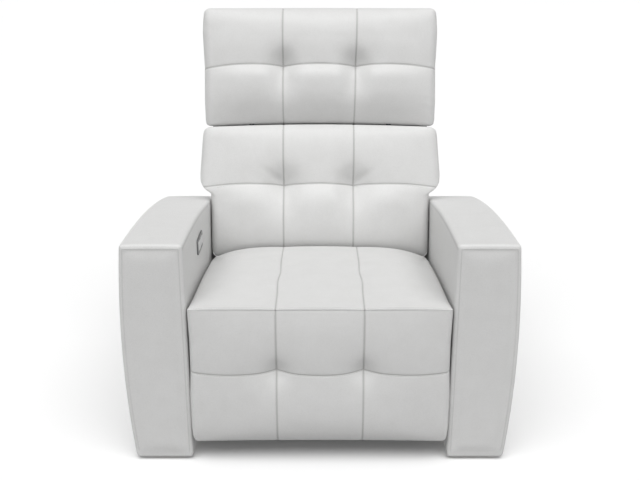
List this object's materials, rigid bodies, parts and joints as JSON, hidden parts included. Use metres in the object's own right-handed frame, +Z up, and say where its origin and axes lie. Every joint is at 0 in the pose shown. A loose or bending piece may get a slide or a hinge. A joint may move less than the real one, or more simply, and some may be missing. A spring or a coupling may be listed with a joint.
{
  "type": "reclining cinema seat",
  "caption": "Upholstered power recliner seat with two wide arms, tufted back and headrest cushions, and a footrest that folds up from the front.",
  "frame": {"origin": "on the floor under the middle of the seat's whole width and depth", "axes": "+Z up, -Y the way the sitter faces, +X to the right of someone who faces the seat"},
  "size_m": [1.0088, 0.887, 1.1127],
  "materials": {
    "cover_leather": "fine-grained semi-aniline leather, very light warm grey",
    "frame_steel": "satin black powder coat",
    "link_steel": "zinc plated, satin",
    "frame_wood": "bare plywood",
    "black_plastic": "fine matt texture",
    "webbing": "elastic webbing, woven",
    "switch_metal": "satin nickel",
    "button_plastic": "silver paint on plastic"
  },
  "bodies": {
    "base": {"arm_frame_left": "frame_wood", "arm_top_band_left": "cover_leather", "arm_outer_panel_left": "cover_leather", "arm_inner_panel_left": "cover_leather", "arm_front_panel_left": "cover_leather", "glide_front_left": "black_plastic", "glide_rear_left": "black_plastic", "base_side_rail_left": "frame_steel", "arm_frame_right": "frame_wood", "arm_top_band_right": "cover_leather", "arm_outer_panel_right": "cover_leather", "arm_inner_panel_right": "cover_leather", "arm_front_panel_right": "cover_leather", "glide_front_right": "black_plastic", "glide_rear_right": "black_plastic", "base_side_rail_right": "frame_steel", "base_front_cross_tube": "frame_steel", "base_middle_cross_tube": "frame_steel", "base_rear_cross_tube": "frame_steel", "rear_base_panel": "black_plastic", "power_inlet": "black_plastic", "control_box": "black_plastic", "recline_motor": "black_plastic", "switch_bezel": "switch_metal", "switch_housing": "black_plastic"},
    "front_swing": {"front_swing_link": "link_steel"},
    "rear_swing": {"rear_swing_link": "link_steel"},
    "seat": {"seat_side_rail_left": "frame_steel", "seat_side_rail_right": "frame_steel", "seat_front_rail": "frame_steel", "seat_middle_rail": "frame_steel", "seat_rear_rail": "frame_steel", "seat_webbing": "webbing", "seat_cushion": "cover_leather", "footrest_motor": "black_plastic"},
    "back": {"back_post_left": "frame_steel", "back_post_right": "frame_steel", "back_top_rail": "frame_steel", "back_lower_rail": "frame_steel", "back_webbing": "webbing", "back_cushion": "cover_leather", "back_rear_panel": "cover_leather", "headrest_motor": "black_plastic"},
    "headrest": {"headrest_plate": "frame_steel", "headrest_cushion": "cover_leather", "headrest_rear_panel": "cover_leather"},
    "headrest_rod": {"headrest_rod": "link_steel"},
    "lift_link": {"footrest_lift_link": "link_steel"},
    "stay_link_left": {"footrest_stay_link_left": "link_steel"},
    "reach_link_left": {"footrest_reach_link_left": "link_steel"},
    "pad_link_left": {"footrest_pad_link_left": "link_steel"},
    "stay_link_right": {"footrest_stay_link_right": "link_steel"},
    "reach_link_right": {"footrest_reach_link_right": "link_steel"},
    "pad_link_right": {"footrest_pad_link_right": "link_steel"},
    "footrest": {"footrest_plate": "frame_steel", "footrest_cushion": "cover_leather"},
    "recline_carriage": {"recline_carriage": "link_steel"},
    "footrest_carriage": {"footrest_carriage": "link_steel"},
    "recline_button": {"recline_button": "button_plastic"},
    "upright_button": {"upright_button": "button_plastic"}
  },
  "joints": [
    {"name": "front_swing_turn", "type": "hinge", "parent": "base", "child": "front_swing", "pos_m": [0, -0.04894, 0.09], "axis": [1, 0, 0], "range_deg": [0, 48]},
    {"name": "rear_swing_turn", "type": "hinge", "parent": "base", "child": "rear_swing", "pos_m": [0, 0.15106, 0.09], "axis": [1, 0, 0], "range_deg": [0, 48]},
    {"name": "seat_level", "type": "hinge", "parent": "front_swing", "child": "seat", "pos_m": [0, 0.00393, 0.20876], "axis": [-1, 0, 0], "range_deg": [0, 48]},
    {"name": "back_recline", "type": "hinge", "parent": "seat", "child": "back", "pos_m": [0, 0.22721, 0.27508], "axis": [-1, 0, 0], "range_deg": [0, 35]},
    {"name": "headrest_tilt", "type": "hinge", "parent": "back", "child": "headrest", "pos_m": [0, 0.20777, 0.77322], "axis": [1, 0, 0], "range_deg": [0, 20]},
    {"name": "headrest_rod_slide", "type": "slide", "parent": "back", "child": "headrest_rod", "axis": [0, 0.225, 0.9744], "range_m": [0, 0.046]},
    {"name": "footrest_lift", "type": "hinge", "parent": "seat", "child": "lift_link", "pos_m": [0, -0.24894, 0.255], "axis": [-1, 0, 0], "range_deg": [0, 90]},
    {"name": "stay_link_left_turn", "type": "hinge", "parent": "seat", "child": "stay_link_left", "pos_m": [0, -0.20894, 0.255], "axis": [-1, 0, 0], "range_deg": [0, 90]},
    {"name": "reach_link_left_turn", "type": "hinge", "parent": "lift_link", "child": "reach_link_left", "pos_m": [0, -0.12594, 0.114], "axis": [1, 0, 0], "range_deg": [0, 90]},
    {"name": "pad_link_left_turn", "type": "hinge", "parent": "lift_link", "child": "pad_link_left", "pos_m": [0, -0.12594, 0.078], "axis": [1, 0, 0], "range_deg": [0, 90]},
    {"name": "stay_link_right_turn", "type": "hinge", "parent": "seat", "child": "stay_link_right", "pos_m": [0, -0.20894, 0.255], "axis": [-1, 0, 0], "range_deg": [0, 90]},
    {"name": "reach_link_right_turn", "type": "hinge", "parent": "lift_link", "child": "reach_link_right", "pos_m": [0, -0.12594, 0.114], "axis": [1, 0, 0], "range_deg": [0, 90]},
    {"name": "pad_link_right_turn", "type": "hinge", "parent": "lift_link", "child": "pad_link_right", "pos_m": [0, -0.12594, 0.078], "axis": [1, 0, 0], "range_deg": [0, 90]},
    {"name": "footrest_turn", "type": "hinge", "parent": "reach_link_left", "child": "footrest", "pos_m": [0, -0.31194, 0.3], "axis": [-1, 0, 0], "range_deg": [0, 90]},
    {"name": "recline_carriage_slide", "type": "slide", "parent": "base", "child": "recline_carriage", "axis": [0, -1, 0], "range_m": [0, 0.06345]},
    {"name": "footrest_carriage_slide", "type": "slide", "parent": "seat", "child": "footrest_carriage", "axis": [0, -1, 0], "range_m": [0, 0.08466]},
    {"name": "recline_button_press", "type": "slide", "parent": "base", "child": "recline_button", "axis": [-1, 0, 0], "range_m": [0, 0.0015], "stiffness_N_per_m": 400},
    {"name": "upright_button_press", "type": "slide", "parent": "base", "child": "upright_button", "axis": [-1, 0, 0], "range_m": [0, 0.0015], "stiffness_N_per_m": 400}
  ],
  "couplings": [
    {"joint": "front_swing_turn", "follows": "back_recline", "ratio": 1.3714},
    {"joint": "rear_swing_turn", "follows": "back_recline", "ratio": 1.3714},
    {"joint": "seat_level", "follows": "back_recline", "ratio": 1.3714},
    {"joint": "recline_carriage_slide", "follows": "back_recline", "m_per_rad": 0.10387},
    {"joint": "headrest_rod_slide", "follows": "headrest_tilt", "m_per_rad": 0.13178},
    {"joint": "stay_link_left_turn", "follows": "footrest_lift", "ratio": 1},
    {"joint": "reach_link_left_turn", "follows": "footrest_lift", "ratio": 1},
    {"joint": "pad_link_left_turn", "follows": "footrest_lift", "ratio": 1},
    {"joint": "stay_link_right_turn", "follows": "footrest_lift", "ratio": 1},
    {"joint": "reach_link_right_turn", "follows": "footrest_lift", "ratio": 1},
    {"joint": "pad_link_right_turn", "follows": "footrest_lift", "ratio": 1},
    {"joint": "footrest_turn", "follows": "footrest_lift", "ratio": 1},
    {"joint": "footrest_carriage_slide", "follows": "footrest_lift", "m_per_rad": 0.053896}
  ]
}
